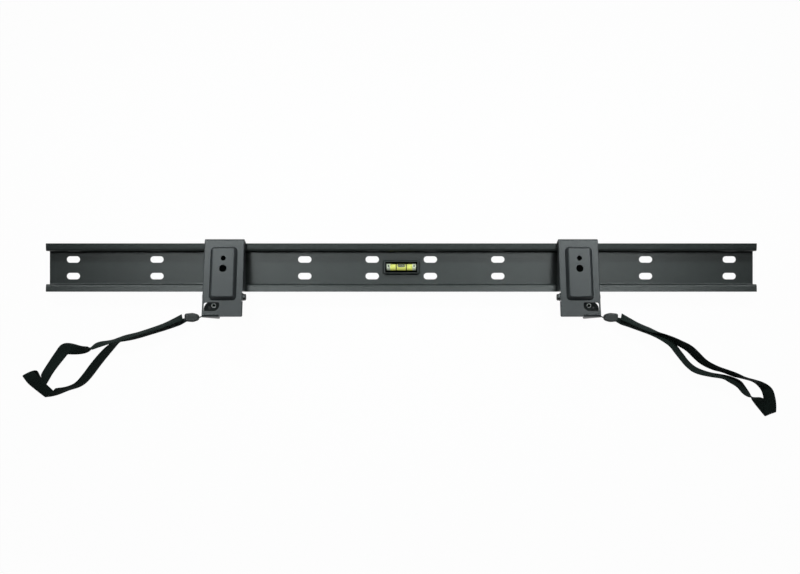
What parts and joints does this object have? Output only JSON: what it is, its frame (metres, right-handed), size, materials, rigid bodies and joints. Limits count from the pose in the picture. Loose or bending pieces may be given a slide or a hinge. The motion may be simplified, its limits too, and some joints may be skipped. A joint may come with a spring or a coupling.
{
  "type": "fixed tv wall bracket",
  "caption": "Slotted hat-section wall rail with a spirit level and hook-on television plates, each held by a sprung latch that a webbing pull strap releases.",
  "frame": {"origin": "middle of the rail's back face, between the two rows of wall slots", "axes": "+X along the rail to the right as seen from the room, +Y up the wall, +Z out of the wall towards the room"},
  "size_m": [0.929, 0.2184, 0.0547],
  "materials": {
    "rail_coat": "charcoal powder coat, fine texture, satin",
    "plate_coat": "charcoal powder coat, fine texture, satin",
    "latch_coat": "charcoal powder coat, satin",
    "rivet_steel": "dark coated steel",
    "spring_steel": "drawn spring wire",
    "eyelet_zinc": "bright zinc",
    "cord_fibre": "braided black cord",
    "clasp_plastic": "moulded dark grey plastic",
    "strap_webbing": "black woven webbing",
    "holder_plastic": "moulded dark grey plastic, black inside the pocket",
    "vial_clear": "clear moulded tube",
    "level_liquid": "yellow-green spirit",
    "plug_plastic": "pale moulded plastic",
    "mark_ink": "black printed ring"
  },
  "bodies": {
    "rail": {"wall_rail": "rail_coat", "level_holder": "holder_plastic", "level_vial": "vial_clear", "level_liquid": "level_liquid", "level_plug_left": "plug_plastic", "level_plug_right": "plug_plastic", "level_marks": "mark_ink"},
    "left_bracket": {"hook_plate_left": "plate_coat", "pivot_rivet_left": "rivet_steel", "latch_spring_left": "spring_steel", "pull_cord_left": "cord_fibre", "strap_clasp_left": "clasp_plastic", "pull_strap_left": "strap_webbing"},
    "left_latch": {"latch_lever_left": "latch_coat", "cord_eyelet_left": "eyelet_zinc", "cord_knot_left": "cord_fibre"},
    "right_bracket": {"hook_plate_right": "plate_coat", "pivot_rivet_right": "rivet_steel", "latch_spring_right": "spring_steel", "pull_cord_right": "cord_fibre", "strap_clasp_right": "clasp_plastic", "pull_strap_right": "strap_webbing"},
    "right_latch": {"latch_lever_right": "latch_coat", "cord_eyelet_right": "eyelet_zinc", "cord_knot_right": "cord_fibre"}
  },
  "joints": [
    {"name": "left_plate_slide", "type": "slide", "parent": "rail", "child": "left_bracket", "axis": [1, 0, 0], "range_m": [-0.19, 0.18]},
    {"name": "left_latch_turn", "type": "hinge", "parent": "left_bracket", "child": "left_latch", "pos_m": [-0.2148, -0.03617, 0.04189], "axis": [1, 0, 0], "range_deg": [-30, 0], "stiffness_Nm_per_rad": 0.12, "springref_deg": 20.05, "deforming": ["latch_spring_left", "pull_cord_left"]},
    {"name": "right_plate_slide", "type": "slide", "parent": "rail", "child": "right_bracket", "axis": [1, 0, 0], "range_m": [-0.18, 0.19]},
    {"name": "right_latch_turn", "type": "hinge", "parent": "right_bracket", "child": "right_latch", "pos_m": [0.2148, -0.03617, 0.04189], "axis": [1, 0, 0], "range_deg": [-30, 0], "stiffness_Nm_per_rad": 0.12, "springref_deg": 20.05, "deforming": ["latch_spring_right", "pull_cord_right"]}
  ]
}
